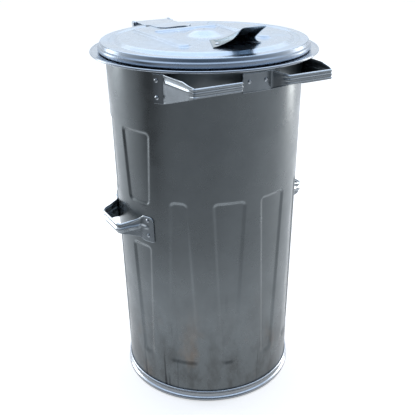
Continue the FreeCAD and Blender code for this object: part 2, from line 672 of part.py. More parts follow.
def make_side_handles():
    """A bent strip with two feet on the barrel, and its mirror image."""
    root = f"sqrt({shell_radius('dims.grip_low')}^2 - dims.grip_root^2)"
    inner = f"(2 * {root} - dims.grip_reach)"
    spread = "(2 * dims.grip_root - dims.grip_half)"
    path = [(inner, f"-{spread}"),
            ("dims.grip_reach", "-dims.grip_half", "dims.grip_bend"),
            ("dims.grip_reach", "dims.grip_half", "dims.grip_bend"),
            (inner, spread)]
    bow = bent_strip("handle_bow", "XY", path, "dims.foot_low", "dims.foot_high", "dims.strip")
    inside = barrel_cone("handle_inside", f"dims.foot_low - {OVERRUN}",
                         f"dims.foot_high + {OVERRUN}", "dims.seat_gap")
    band = barrel_band("handle_band", "dims.foot_low", "dims.foot_high",
                       "dims.seat_gap", "dims.seat_gap + dims.strip")
    ends = f"asin(dims.grip_root / {shell_radius('dims.grip_low')})"
    reach = fuse("handle_reach",
                 sector("handle_front_foot", "45", f"90 deg - {ends}",
                        "dims.foot_low", "dims.foot_high"),
                 sector("handle_rear_foot", f"90 deg + {ends}", "135",
                        "dims.foot_low", "dims.foot_high"))
    whole = fuse("handle_whole", cut("handle_arms", bow, inside),
                 common("handle_feet", band, reach))
    narrow = "dims.grip_half + dims.strip"
    wide = "dims.grip_root + dims.foot_corner"
    side_view = [("-dims.foot_end", "dims.foot_high", "dims.foot_corner"),
                 ("-dims.foot_end", "dims.foot_low", "dims.foot_corner / 2"),
                 (f"-({wide})", "dims.foot_low"),
                 (f"-({narrow})", "dims.grip_low"),
                 (narrow, "dims.grip_low"),
                 (wide, "dims.foot_low"),
                 ("dims.foot_end", "dims.foot_low", "dims.foot_corner / 2"),
                 ("dims.foot_end", "dims.foot_high", "dims.foot_corner"),
                 (wide, "dims.foot_high"),
                 (narrow, "dims.grip_high"),
                 (f"-({narrow})", "dims.grip_high"),
                 (f"-({wide})", "dims.foot_high")]
    shape = slab("handle_side_view", "YZ", side_view, "dims.foot_radius / 2", FAR)
    plain = common("handle_plain", whole, shape)
    right = cut("right_handle", plain, handle_holes["right"])
    return mirrored("left_handle", right), right


# ---------------------------------------------------------------- lid

def lid_form(name, inset):
    """The solid under the lid's upper face, moved in by inset."""
    corners = [("0", f"dims.rim_low - {inset}"),
               (f"dims.rim_bead - dims.rim_curl - {inset}", f"dims.rim_low - {inset}"),
               (f"dims.rim_bead - {inset}", "dims.bead_low"),
               (f"dims.rim_bead - {inset}", "dims.bead_high"),
               (f"dims.wall_foot - {inset}", "dims.wall_low"),
               (f"dims.rim_radius - {inset}", f"dims.lid_top - {inset}",
                f"dims.rim_bend - {inset}"),
               ("dims.ring_inner", f"dims.lid_top - {inset}"),
               ("dims.groove_outer", f"dims.groove_level - {inset}"),
               ("dims.groove_inner", f"dims.groove_level - {inset}"),
               ("dims.panel_radius", f"dims.panel_edge - {inset}"),
               ("dims.dome_radius", f"dims.panel_peak - {inset}"),
               ("dims.dome_flat", f"dims.dome_top - {inset}"),
               ("0", f"dims.dome_top - {inset}")]
    return turned(name, corners)


def lid_rib(name, left, right, front, rear, low, inset):
    """A raised bar with rounded ends, made smaller by inset."""
    bend = f"min(({right}) - ({left}); ({rear}) - ({front})) * 0.45 - {inset}"
    corners = [(f"{left} + {inset}", f"{front} + {inset}", bend),
               (f"{right} - {inset}", f"{front} + {inset}", bend),
               (f"{right} - {inset}", f"{rear} - {inset}", bend),
               (f"{left} + {inset}", f"{rear} - {inset}", bend)]
    return slab(name, "XY", corners, low, f"dims.rib_top - {inset}")


def lid_ribs(name, low, inset):
    right = ("dims.rib_offset - dims.rib_half", "dims.rib_offset + dims.rib_half")
    left = ("-dims.rib_offset - dims.rib_half", "-dims.rib_offset + dims.rib_half")
    length = ("-dims.rib_front", "dims.rib_rear")
    across = ("-dims.cross_reach", "dims.cross_reach",
              "dims.cross_rib - dims.cross_half", "dims.cross_rib + dims.cross_half")
    return [lid_rib(name + "_right_rib", *right, *length, low, inset),
            lid_rib(name + "_left_rib", *left, *length, low, inset),
            lid_rib(name + "_cross_rib", *across, low, inset)]


def panel_height(radius):
    """Height of the lid's panel at a radius between the dome and the panel's edge."""
    fall = "(dims.panel_peak - dims.panel_edge) / (dims.panel_radius - dims.dome_radius)"
    return f"(dims.panel_peak - {fall} * ({radius} - dims.dome_radius))"


def lid_places(spots, plate):
    """Upright placements on a plate that lies on the lid's panel."""
    places = []
    for x, y in spots:
        level = panel_height(f"abs({y})")
        places.append(upright(x, y, f"{level} + dims.seat_gap + {plate} + 3 * dims.head_gap"))
    return places


def lid_rivets(name, plate, spots):
    grip = f"({plate} + dims.seat_gap + dims.sheet + 3 * dims.head_gap)"
    places = lid_places(spots, plate)
    return copies(name, rivet(name + "_one", grip), places), drills(name + "_holes", places)


pull_spots = [(side + "dims.pull_rivet_side", "-dims.pull_rivet_front") for side in ("", "-")]
pull_rivets, pull_holes = lid_rivets("lid_handle_rivets", "dims.pull_sheet", pull_spots)


def make_lid_shell():
    outside = fuse("lid_outside", lid_form("lid_face", "0"),
                   *lid_ribs("face", "dims.lid_top", "0"))
    inside = fuse("lid_inside", lid_form("lid_hollow", "dims.sheet"),
                  *lid_ribs("hollow", "dims.lid_top - 2 * dims.sheet", "dims.sheet"))
    return cut("lid_shell", cut("lid_plain", outside, inside), pull_holes)


# points of half a section: share of the hollow's half width, share of the foot beside it,
# share of the rise, and share of the rise that the front edge flares out by
PULL_POINTS = [
    (0.45, 0.00, 1.00, 0.00), (0.85, 0.00, 0.99, 0.00), (0.97, 0.00, 0.90, 0.00),
    (1.01, 0.00, 0.45, 0.00), (1.00, 0.08, 0.10, 0.25), (1.00, 0.18, 0.00, 0.28),
    (1.00, 0.38, 0.00, 0.17), (1.00, 0.56, 0.00, 0.10), (1.00, 0.78, 0.00, 0.03),
    (1.00, 1.00, 0.00, 0.00),
]
FLARE_START = 0.7      # share of the handle's length behind which the feet lie flat


def pull_section(share):
    """Half of the lid handle's section at a share of its length: distances out and heights."""
    rise = number("dims.pull_rise") * share ** 1.8
    slim, wide = number("dims.pull_slim"), number("dims.pull_wide")
    foot_slim, foot_wide = number("dims.pull_foot_slim"), number("dims.pull_foot_wide")
    half = slim + (wide - slim) * share
    spread = foot_slim + (foot_wide - foot_slim) * share - half
    flare = max(0, share - FLARE_START) / (1 - FLARE_START)
    return [Vector(across * half + beside * spread, rise * (height + flare * lift), 0)
            for across, beside, height, lift in PULL_POINTS]


def pull_wire(share):
    """The closed section of the handle's sheet, in a plane that leans to the front."""
    sheet, lean = number("dims.pull_sheet"), number("dims.pull_lean")
    rear, front = number("dims.pull_rear"), number("dims.pull_front")
    depth = rear + (front - rear) * share
    ground = number(panel_height(str(depth)) + " + dims.seat_gap")
    right = pull_section(share)
    inner = [Vector(-point.x, point.y, 0) for point in reversed(right)] + right
    outer = []
    for index, point in enumerate(inner):
        along = inner[min(index + 1, len(inner) - 1)] - inner[max(index - 1, 0)]
        outer.append(point + Vector(-along.y, along.x, 0).normalize() * sheet)
    ring = inner + outer[::-1] + inner[:1]
    return Part.makePolygon([Vector(point.x, -depth - lean * point.y, ground + point.y)
                             for point in ring])


def make_lid_handle():
    """A hood drawn up from flat feet, open to the front and leaning forward."""
    hood = doc.addObject("Part::Feature", "lid_handle_hood")
    shares = (0, 0.25, 0.5, FLARE_START, 0.85, 1)
    hood.Shape = Part.makeLoft([pull_wire(share) for share in shares], True, True)
    return cut("lid_handle", hood, pull_holes)


# ---------------------------------------------------------------- hinge

STRAP_LEVEL = "(dims.lid_top + dims.seat_gap)"
BORE = "(dims.pin_radius + dims.pin_play)"
PIN_HEIGHT = f"({STRAP_LEVEL} - {BORE})"
EAR_INSIDE = "(dims.strap_half + dims.washer + 2 * dims.side_play)"
EAR_OUTSIDE = f"({EAR_INSIDE} + dims.ear)"


def across(x, y, height):
    """Placement with local Z along +X."""
    return f"placement(vector({x}; {y}; {height}); rotation(vector(0; 1; 0); 90))"


def rearward(x, y, height):
    """Placement with local Z along +Y."""
    return f"placement(vector({x}; {y}; {height}); rotation(vector(1; 0; 0); -90))"


def make_hinge_strap():
    """A strap on the lid's panel and over its rim, whose end is curled round the pin."""
    panel_end = panel_height("dims.panel_radius") + " + dims.seat_gap"
    path = [("dims.pin_reach", STRAP_LEVEL),
            ("dims.strap_landing", STRAP_LEVEL, "dims.strap_bend"),
            ("dims.panel_radius", panel_end, "dims.strap_bend"),
            ("dims.strap_front", panel_height("dims.strap_front") + " + dims.seat_gap")]
    band = bent_strip("strap_band", "YZ", path, "-dims.strap_half", "dims.strap_half",
                      "dims.strap")
    plan = [("-dims.strap_half", "dims.strap_front", "dims.strap_corner"),
            ("dims.strap_half", "dims.strap_front", "dims.strap_corner"),
            ("dims.strap_half", FAR), ("-dims.strap_half", FAR)]
    outline = slab("strap_plan", "XY", plan, "dims.rim_low / 2", "dims.dome_top")
    centre = across("-dims.strap_half", "dims.pin_reach", PIN_HEIGHT)
    curl = cylinder("strap_curl", f"{BORE} + dims.strap", "0", "2 * dims.strap_half", centre)
    bore = cylinder("strap_bore", BORE, "0", "2 * dims.strap_half", centre)
    whole = fuse("strap_whole", common("strap_round", band, outline), curl)
    return cut("hinge_strap", whole, bore)


def make_hinge_bracket():
    """A plate riveted to the barrel, with two ears that pass outside the collar's lip."""
    profile = [("dims.mouth_radius / 2", "dims.ear_low"),
               ("dims.ear_foot", "dims.ear_low", "dims.ear_corner"),
               ("dims.pin_reach + dims.ear_half", f"{PIN_HEIGHT} - dims.ear_step", "dims.ear_corner"),
               ("dims.pin_reach + dims.ear_half", f"{PIN_HEIGHT} + dims.ear_rise", "dims.ear_corner"),
               ("dims.pin_reach - dims.ear_half", f"{PIN_HEIGHT} + dims.ear_rise", "dims.ear_corner"),
               ("dims.pin_reach - dims.ear_half", "dims.ear_shoulder", "dims.ear_corner"),
               ("dims.mouth_radius / 2", "dims.ear_shoulder")]
    ears = [slab("ear_right", "YZ", profile, EAR_INSIDE, EAR_OUTSIDE),
            slab("ear_left", "YZ", profile, f"-{EAR_OUTSIDE}", f"-{EAR_INSIDE}")]
    band = barrel_band("bracket_band", "dims.plate_low", "dims.plate_high",
                       "dims.seat_gap", "dims.seat_gap + dims.ear")
    half_turn = f"asin(({EAR_OUTSIDE} - dims.ear / 2) / dims.mouth_radius)"
    plate = common("bracket_plate", band,
                   sector("bracket_reach", f"{REAR} deg - {half_turn}", f"{REAR} deg + {half_turn}",
                          "dims.plate_low", "dims.plate_high"))
    inside = barrel_cone("bracket_inside", f"dims.plate_low - {OVERRUN}",
                         f"dims.mouth_height + {OVERRUN}", "dims.seat_gap")
    bore = cylinder("bracket_bore", BORE, f"-{FAR}", FAR,
                    across(f"-{FAR}", "dims.pin_reach", PIN_HEIGHT))
    tools = fuse("bracket_tools", inside, bore, bracket_holes)
    return cut("hinge_bracket", fuse("bracket_whole", plate, *ears), tools)


def make_hinge_pin():
    """A headed pin, cross-drilled at its plain end."""
    length = f"dims.pin_head_rise + 2 * ({EAR_OUTSIDE} + dims.side_play) + dims.pin_tail"
    corners = [("0", "0"), ("dims.pin_head", "0"), ("dims.pin_head", "dims.pin_head_rise"),
               ("dims.pin_radius", "dims.pin_head_rise"), ("dims.pin_radius", length),
               ("0", length)]
    blank = turned("pin_blank", corners)
    start = f"-({EAR_OUTSIDE} + dims.side_play + dims.pin_head_rise)"
    bind(blank, {"Placement": across(start, "dims.pin_reach", PIN_HEIGHT)})
    hole = cylinder("pin_hole", "dims.cotter + dims.hole_gap", f"-{OVERRUN}", OVERRUN,
                    rearward(f"{EAR_OUTSIDE} + dims.pin_tail / 2", f"dims.pin_reach - {OVERRUN}",
                             PIN_HEIGHT))
    return cut("hinge_pin", blank, hole)


def make_hinge_washers():
    """One washer on each side of the strap's curl."""
    ring = turned("washer_one", [(BORE, "0"), ("dims.washer_radius", "0"),
                                 ("dims.washer_radius", "dims.washer"), (BORE, "dims.washer")])
    places = [across("dims.strap_half + dims.side_play", "dims.pin_reach", PIN_HEIGHT),
              across("-(dims.strap_half + dims.side_play + dims.washer)", "dims.pin_reach",
                     PIN_HEIGHT)]
    return copies("hinge_washers", ring, places)


def make_split_pin():
    """A round pin with an eye behind, through the hinge pin's end."""
    place = f"{EAR_OUTSIDE} + dims.pin_tail / 2"
    start = "dims.pin_reach - dims.cotter_drop"
    eye_middle = "dims.pin_reach + dims.pin_radius + dims.cotter_eye + 1.5 * dims.cotter"
    leg = cylinder("cotter_leg", "dims.cotter", start, f"{eye_middle} - dims.cotter_eye",
                   rearward(place, start, PIN_HEIGHT))
    eye = torus("cotter_loop", "dims.cotter_eye", "dims.cotter", PIN_HEIGHT)
    bind(eye, {"Placement": upright(place, eye_middle, PIN_HEIGHT)})
    return fuse("split_pin", leg, eye)


# ---------------------------------------------------------------- nodes

left_handle, right_handle = make_side_handles()
nodes = {
    "body_shell": make_body_shell(),
    "bottom_plate": make_bottom_plate(),
    "base_ring": make_base_ring(),
    "collar_ring": make_collar_ring(),
    "neck_ring": make_neck_ring(),
    "lifting_strip": make_lifting_strip(),
    "lifting_strip_rivets": strip_rivets,
    "left_handle": left_handle,
    "right_handle": right_handle,
    "left_handle_rivets": handle_rivets["left"],
    "right_handle_rivets": handle_rivets["right"],
    "hinge_bracket": make_hinge_bracket(),
    "hinge_bracket_rivets": bracket_rivets,
    "hinge_pin": make_hinge_pin(),
    "hinge_washers": make_hinge_washers(),
    "split_pin": make_split_pin(),
    "lid_shell": make_lid_shell(),
    "lid_handle": make_lid_handle(),
    "lid_handle_rivets": pull_rivets,
    "hinge_strap": make_hinge_strap(),
}
doc.recompute()

for thing in doc.Objects:
    if "Invalid" in thing.State or "Error" in thing.State:
        raise RuntimeError(f"{thing.Name} failed: {thing.State}")
for name, node in nodes.items():
    node.Label = name
    shape = node.Shape
    if shape.isNull() or not shape.isValid() or not shape.Solids:
        raise RuntimeError(f"{name} has no valid solid")
    shape.exportStep(f"parts/{name}.step")
    box = shape.BoundBox
    print(f"{name:22s} {len(shape.Solids):2d} solids {shape.Volume / 1000:9.2f} cm3  "
          f"x {box.XMin:7.1f} {box.XMax:7.1f}  y {box.YMin:7.1f} {box.YMax:7.1f}  "
          f"z {box.ZMin:7.1f} {box.ZMax:7.1f}")
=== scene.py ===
import math

import bpy
import numpy as np
from mathutils import Matrix, Vector


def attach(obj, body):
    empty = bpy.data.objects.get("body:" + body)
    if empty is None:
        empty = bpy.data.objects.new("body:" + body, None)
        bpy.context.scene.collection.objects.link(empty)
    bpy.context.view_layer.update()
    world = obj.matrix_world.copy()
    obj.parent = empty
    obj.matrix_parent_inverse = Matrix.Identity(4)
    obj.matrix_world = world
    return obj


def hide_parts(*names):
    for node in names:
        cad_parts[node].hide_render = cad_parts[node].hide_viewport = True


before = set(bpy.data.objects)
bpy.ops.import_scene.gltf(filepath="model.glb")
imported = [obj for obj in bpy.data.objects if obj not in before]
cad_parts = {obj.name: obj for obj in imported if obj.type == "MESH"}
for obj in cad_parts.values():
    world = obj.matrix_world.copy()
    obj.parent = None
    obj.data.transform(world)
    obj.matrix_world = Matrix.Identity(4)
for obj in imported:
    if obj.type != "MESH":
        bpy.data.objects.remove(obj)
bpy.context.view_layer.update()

# Lengths are in millimetres up to the point where a mesh is made.
# A bearing is the angle round the barrel, in degrees from the front towards +X.

FOOT_RADIUS, MOUTH_RADIUS, MOUTH_HEIGHT = 201.9, 219.0, 809.0
TAPER = (MOUTH_RADIUS - FOOT_RADIUS) / MOUTH_HEIGHT
GAUGE = 1.0      # sheet of the barrel and the lid
STRIP = 2.0      # sheet of the bent strips
SEAT = 0.15      # gap under a seated sheet


def shell_radius(height):
    return FOOT_RADIUS + TAPER * height


# ---------------------------------------------------------------- meshes

def add_mesh(name, vertices, faces, material, sharp=35.0):
    mesh = bpy.data.meshes.new(name)
    mesh.from_pydata((np.asarray(vertices) * 0.001).tolist(), [], faces)
    mesh.validate()
    piece = bpy.data.objects.new(name, mesh)
    bpy.context.scene.collection.objects.link(piece)
    mesh.polygons.foreach_set("use_smooth", [True] * len(mesh.polygons))
    mesh.set_sharp_from_angle(angle=math.radians(sharp))
    mesh.materials.append(material)
    return piece


def grid_faces(rings, size, closed):
    """Quads between neighbouring rings of one size."""
    first = np.arange(rings if closed else rings - 1)[:, None]
    second = (first + 1) % rings
    here = np.arange(size)[None, :]
    there = (here + 1) % size
    quads = np.stack([first * size + here, first * size + there,
                      second * size + there, second * size + here], axis=-1)
    return quads.reshape(-1, 4).tolist()


def lofted(name, rings, closed, material, sharp=35.0):
    """A solid from rings of points. An open row of rings is capped at both ends."""
    rings = np.asarray(rings, dtype=float)
    count, size = rings.shape[:2]
    faces = grid_faces(count, size, closed)
    if not closed:
        faces.append(list(range(size)))
        faces.append([(count - 1) * size + k for k in reversed(range(size))])
    return add_mesh(name, rings.reshape(-1, 3), faces, material, sharp)


def rounded(corners, closed=False, step=6.0):
    """Points along straight runs with rounded corners. A corner is (x, y) or (x, y, radius)."""
    count = len(corners)
    places = [np.array(corner[:2], dtype=float) for corner in corners]
    line = []
    for index, corner in enumerate(corners):
        radius = corner[2] if len(corner) > 2 else 0
        inner = closed or 0 < index < count - 1
        if not radius or not inner:
            line.append(places[index])
            continue
        back = places[index - 1] - places[index]
        onward = places[(index + 1) % count] - places[index]
        back /= np.linalg.norm(back)
        onward /= np.linalg.norm(onward)
        half = math.acos(np.clip(np.dot(back, onward), -1, 1)) / 2
        if abs(half - math.pi / 2) < 1e-3:
            line.append(places[index])
            continue
        middle = (back + onward) / np.linalg.norm(back + onward)
        centre = places[index] + middle * radius / math.sin(half)
        start = places[index] + back * radius / math.tan(half) - centre
        end = places[index] + onward * radius / math.tan(half) - centre
        turn = math.pi - 2 * half
        side = 1 if start[0] * end[1] - start[1] * end[0] > 0 else -1
        parts = max(2, round(math.degrees(turn) / 10))
        for share in np.linspace(0, 1, parts + 1):
            angle = side * turn * share
            cosine, sine = math.cos(angle), math.sin(angle)
            line.append(centre + np.array([start[0] * cosine - start[1] * sine,
                                           start[0] * sine + start[1] * cosine]))
    if closed:
        line.append(line[0])
    points = [line[0]]
    for start, end in zip(line, line[1:]):
        parts = max(1, math.ceil(np.linalg.norm(end - start) / step))
        points += [start + (end - start) * k / parts for k in range(1, parts + 1)]
    return np.array(points[:-1] if closed else points)


def arc(x, y, radius, start, end, step=15.0):
    """Points on a circle, from one angle to another in degrees."""
    parts = max(2, round(abs(end - start) / step))
    angles = np.radians(np.linspace(start, end, parts + 1))
    return np.stack([x + radius * np.cos(angles), y + radius * np.sin(angles)], axis=1)


def turned(name, profile, material, segments=360, change=None, sharp=35.0):
    """A closed section of (radius, height) turned about Z. change may move the points."""
    profile = np.asarray(profile, dtype=float)
    angles = np.linspace(0, 2 * math.pi, segments, endpoint=False)[:, None]
    radius, height = profile[None, :, 0], profile[None, :, 1] + 0 * angles
    rings = np.stack([radius * np.cos(angles), radius * np.sin(angles), height], axis=-1)
    if change:
        rings = change(rings)
    return lofted(name, rings, True, material, sharp)


def smooth(value):
    """A soft step from 0 to 1."""
    value = np.clip(value, 0, 1)
    return value * value * (3 - 2 * value)


def rounded_box_distance(x, y, half_x, half_y, radius):
    """Distance outside a rounded rectangle, negative inside it."""
    qx, qy = np.abs(x) - half_x + radius, np.abs(y) - half_y + radius
    outside = np.hypot(np.maximum(qx, 0), np.maximum(qy, 0))
    return outside + np.minimum(np.maximum(qx, qy), 0) - radius


# ---------------------------------------------------------------- materials

def feed(tree, sockets, values):
    """Sets each socket to a constant, or links it to another node's socket."""
    for socket, value in zip(sockets, values):
        if isinstance(value, (tuple, float, int)):
            socket.default_value = value
        else:
            tree.links.new(value, socket)


def joined(tree, operation, first, second):
    node = tree.nodes.new("ShaderNodeMath")
    node.operation = operation
    feed(tree, node.inputs, (first, second))
    return node.outputs["Value"]


def mixed(tree, factor, first, second):
    node = tree.nodes.new("ShaderNodeMix")
    node.data_type = "RGBA"
    feed(tree, (node.inputs["Factor"], node.inputs["A"], node.inputs["B"]),
         (factor, first, second))
    return node.outputs["Result"]


ROUGHNESS_SPREAD, GRAIN = 0.08, 0.02


def zinc(name, color, roughness, mottle, spangle=0.0, wave=0.0, stains=0.0, painted_sky_sheen=None):
    """Hot-dip galvanized steel: cloudy patches, faint crystals, fine grain and soft waves.

    The last argument is a painted sky reflection: the colour painted on the faces that look up, and
    where it starts and is full."""
    material = bpy.data.materials.new(name)
    material.use_nodes = True
    tree = material.node_tree
    nodes, links = tree.nodes, tree.links
    shader = nodes["Principled BSDF"]
    shader.inputs["Metallic"].default_value = 1.0
    shader.inputs["Specular IOR Level"].default_value = 0.5
    place = nodes.new("ShaderNodeTexCoord").outputs["Object"]

    def noise(scale, detail=3.0, rough=0.5, stretch=None, source=place):
        if stretch:
            mapping = nodes.new("ShaderNodeMapping")
            mapping.inputs["Scale"].default_value = stretch
            links.new(source, mapping.inputs["Vector"])
            source = mapping.outputs["Vector"]
        texture = nodes.new("ShaderNodeTexNoise")
        texture.inputs["Scale"].default_value = scale
        texture.inputs["Detail"].default_value = detail
        texture.inputs["Roughness"].default_value = rough
        links.new(source, texture.inputs["Vector"])
        return texture.outputs["Fac"]

    def spread_over(value, low, high, from_low=0.3, from_high=0.7):
        range_node = nodes.new("ShaderNodeMapRange")
        range_node.inputs["From Min"].default_value = from_low
        range_node.inputs["From Max"].default_value = from_high
        range_node.inputs["To Min"].default_value = low
        range_node.inputs["To Max"].default_value = high
        links.new(value, range_node.inputs["Value"])
        return range_node.outputs["Result"]

    def over(tone, shares, top):
        """Lays top over tone, by the product of the shares."""
        factor = shares[0]
        for share in shares[1:]:
            factor = joined(tree, "MULTIPLY", factor, share)
        return mixed(tree, factor, tone, top)

    cloud = noise(16.0, 5.0, 0.65)
    streak = noise(30.0, 3.0, 0.6, (1.0, 1.0, 0.06))
    dark = tuple(c * (1 - mottle) for c in color) + (1.0,)
    light = tuple(min(1, c * (1 + mottle)) for c in color) + (1.0,)
    tone = over(dark, [spread_over(cloud, 0.0, 1.0)], light)
    tone = over(tone, [spread_over(streak, 0.0, 0.35)], dark)
    if spangle:
        cells = nodes.new("ShaderNodeTexVoronoi")
        cells.inputs["Scale"].default_value = 95.0
        warp = mixed(tree, 0.06, place, noise(40.0, 2.0))
        links.new(warp, cells.inputs["Vector"])
        shade = nodes.new("ShaderNodeSeparateColor")
        links.new(cells.outputs["Color"], shade.inputs["Color"])
        tone = over(tone, [spread_over(shade.outputs["Red"], 0.0, spangle, 0.0, 1.0)], light)
    tint = spread_over(noise(3.5, 2.0, 0.5, (1.0, 1.0, 0.35)), 0.0, 0.12)
    tone = over(tone, [tint], (color[0] * 1.12, color[1] * 0.98, color[2] * 0.80, 1.0))
    if stains:
        level = nodes.new("ShaderNodeSeparateXYZ")
        links.new(place, level.inputs["Vector"])
        low = spread_over(level.outputs["Z"], 1.0, 0.0, 0.03, 0.30)
        # Darker towards the bottom: laid halfway to a third of the colour below 0.06 m, fading out
        # by 0.46 m.
        darkening_low = spread_over(level.outputs["Z"], 0.5, 0.0, 0.06, 0.46)
        tone = over(tone, [darkening_low], tuple(c * 0.35 for c in color) + (1.0,))
        grime = spread_over(noise(26.0, 6.0, 0.65, (1.0, 1.0, 0.5)), 0.0, 1.0, 0.42, 0.62)
        tone = over(tone, [low, grime, stains], (0.05, 0.048, 0.045, 1.0))
        rust = spread_over(noise(11.0, 4.0, 0.6, (1.0, 1.0, 0.55)), 0.0, 0.30, 0.58, 0.72)
        tone = over(tone, [low, rust], (0.30, 0.19, 0.11, 1.0))
        runs = spread_over(noise(60.0, 3.0, 0.5, (1.0, 1.0, 0.05)), 0.0, 1.0, 0.60, 0.68)
        tone = over(tone, [low, runs, 0.8], (0.02, 0.022, 0.025, 1.0))
    # Painted sky reflection: faces that look up are painted lighter, in patches.
    if painted_sky_sheen:
        bright, start, end = painted_sky_sheen
        facing = nodes.new("ShaderNodeSeparateXYZ")
        links.new(nodes.new("ShaderNodeTexCoord").outputs["Normal"], facing.inputs["Vector"])
        upward = spread_over(facing.outputs["Z"], 0.0, 1.0, start, end)
        patchy = spread_over(noise(55.0, 3.0, 0.6), 0.75, 1.0)
        tone = over(tone, [upward, patchy], bright + (1.0,))
    links.new(tone, shader.inputs["Base Color"])
    rough = spread_over(noise(14.0, 4.0, 0.6), roughness - ROUGHNESS_SPREAD,
                        roughness + ROUGHNESS_SPREAD)
    links.new(rough, shader.inputs["Roughness"])

    fine = nodes.new("ShaderNodeBump")
    fine.inputs["Strength"].default_value = GRAIN
    fine.inputs["Distance"].default_value = 0.001
    links.new(noise(420.0, 3.0, 0.6), fine.inputs["Height"])
    if wave:
        broad = nodes.new("ShaderNodeBump")
        broad.inputs["Strength"].default_value = wave
        broad.inputs["Distance"].default_value = 0.01
        links.new(noise(7.0, 1.0, 0.4, (1.0, 1.0, 0.5)), broad.inputs["Height"])
        links.new(broad.outputs["Normal"], fine.inputs["Normal"])
    links.new(fine.outputs["Normal"], shader.inputs["Normal"])
    return material


# Where a finish has a colour for up-facing faces, that colour is painted sky reflection.
SHEET = zinc("zinc_sheet", (0.190, 0.208, 0.216), 0.30, mottle=0.07, wave=0.10, spangle=0.12,
             stains=0.55)
# The lid's zinc is a lighter, bluer copy of the barrel's: painted sky reflection over the whole
# lid.
LID = zinc("zinc_lid", (0.36, 0.42, 0.50), 0.27, mottle=0.05, wave=0.06, spangle=0.12,
           painted_sky_sheen=((0.67, 0.765, 0.88), 0.70, 0.93))
BARS = zinc("zinc_strip", (0.235, 0.26, 0.28), 0.25, mottle=0.15,
            painted_sky_sheen=((0.88, 0.93, 0.98), 0.14, 0.55))
RING = zinc("zinc_ring", (0.36, 0.40, 0.45), 0.24, mottle=0.12,
            painted_sky_sheen=((0.62, 0.69, 0.78), 0.50, 0.95))
HOOP = zinc("zinc_hoop", (0.27, 0.29, 0.31), 0.22, mottle=0.10,
            painted_sky_sheen=((0.80, 0.84, 0.90), 0.30, 0.75))
HARDWARE = zinc("zinc_hardware", (0.40, 0.43, 0.46), 0.26, mottle=0.12,
                painted_sky_sheen=((0.85, 0.88, 0.92), 0.30, 0.75))
PULL = zinc("zinc_pull", (0.40, 0.47, 0.51), 0.28, mottle=0.15)
HINGE = zinc("zinc_hinge", (0.36, 0.41, 0.46), 0.28, mottle=0.08,
             painted_sky_sheen=((0.72, 0.80, 0.90), 0.55, 0.90))
INSIDE = zinc("zinc_inside", (0.26, 0.27, 0.29), 0.38, mottle=0.25, stains=0.4)


def stands_for(piece, node, body="bin"):
    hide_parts(node)
    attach(piece, body)


# ---------------------------------------------------------------- barrel

FLUTE_CORNER, FLUTE_DEPTH, FLUTE_EDGE = 10.0, 3.4, 4.4
FLUTES = []      # bearing, lower and upper end, half width at each end
for mirror in (1, -1):
    for rear in (False, True):
        for bearing, low, high, half_low, half_high in (
            (15, 105, 520, 15.3, 35), (45, 105, 520, 36, 17.6),
            (73, 105, 400, 14.3, 28), (73, 504, 668, 30.8, 41),
        ):
            turn = (180 - bearing) if rear else bearing
            FLUTES.append((mirror * turn, low, high, half_low, half_high))


def flute_depth(bearing, height):
    """How far the pressed flutes lie behind the barrel's face, at arrays of places."""
    depth = np.zeros(np.broadcast(bearing, height).shape)
    for middle, low, high, half_low, half_high in FLUTES:
        across = (bearing - middle + 180) % 360 - 180
        across = np.radians(across) * shell_radius(height)
        share = np.clip((height - low) / (high - low), 0, 1)
        half = half_low + (half_high - half_low) * share
        away = rounded_box_distance(across, height - (low + high) / 2, half, (high - low) / 2,
                                    FLUTE_CORNER)
        soft = 4.0 if low < 200 else 0.0      # the long flutes run out softly at the foot
        edge = FLUTE_EDGE + soft * smooth((low + 24 - height) / 24)
        depth = np.maximum(depth, FLUTE_DEPTH * smooth(0.5 - away / (2 * edge)))
    return depth


def make_barrel():
    rows = []      # closer together where flutes begin and end
    for start, end, step in ((3.2, 96, 9), (96, 120, 1.6), (120, 384, 11), (384, 406, 1.6),
                             (406, 494, 9), (494, 532, 1.6), (532, 656, 11), (656, 674, 1.6),
                             (674, MOUTH_HEIGHT, 9)):
        rows += list(np.linspace(start, end, max(2, round((end - start) / step)), endpoint=False))
    rows = np.array(rows + [MOUTH_HEIGHT])
    bearings = np.linspace(0, 360, 840, endpoint=False)
    depth = flute_depth(bearings[:, None], rows[None, :])
    outer = shell_radius(rows)[None, :] - depth
    inner = outer - GAUGE
    radius = np.concatenate([outer, inner[:, ::-1]], axis=1)
    height = np.concatenate([rows, rows[::-1]])[None, :] + 0 * radius
    angle = np.radians(bearings)[:, None]
    rings = np.stack([radius * np.sin(angle), -radius * np.cos(angle), height], axis=-1)
    barrel = lofted("barrel_sheet", rings, True, SHEET, sharp=60)
    stands_for(barrel, "body_shell")


def make_foot_ring():
    bead, web = 203.1, 203.75
    section = np.concatenate([
        arc(bead, 5.7, 6.0, -71.8, 78),
        [(web + 0.15, 12.6), (web + 0.3, 17.5), (web + 0.45, 22.0)],
        arc(204.45, 25.5, 2.5, -62, 130),
        [(202.65, 25.6), (202.5, 18.0), (202.3, 9.0), (202.15, 3.3), (200.6, 3.05), (200.2, 1.4),
         (201.3, 0.0)],
    ])
    ring = turned("foot_ring", section, HOOP, 480, sharp=50)
    stands_for(ring, "base_ring")


def make_collar():
    lip, deck = 249.7, 809.15
    section = np.concatenate([
        [(217.25, 792.0), (217.3, 800.0), (217.4, 808.4), (217.9, deck)],
        [(222.0, deck), (232.0, deck - 0.1), (243.0, deck - 0.2)],
        arc(lip, 809.75, 2.6, 200, 470, 12),
        [(247.6, 810.9), (246.0, 810.3), (238.0, 809.9), (228.0, 809.9), (221.5, 810.35)],
        [(218.2, 810.2), (216.5, 808.9), (216.0, 806.0), (215.9, 792.0)],
    ])
    collar = turned("mouth_collar", section, RING, 480, sharp=50)
    stands_for(collar, "collar_ring")


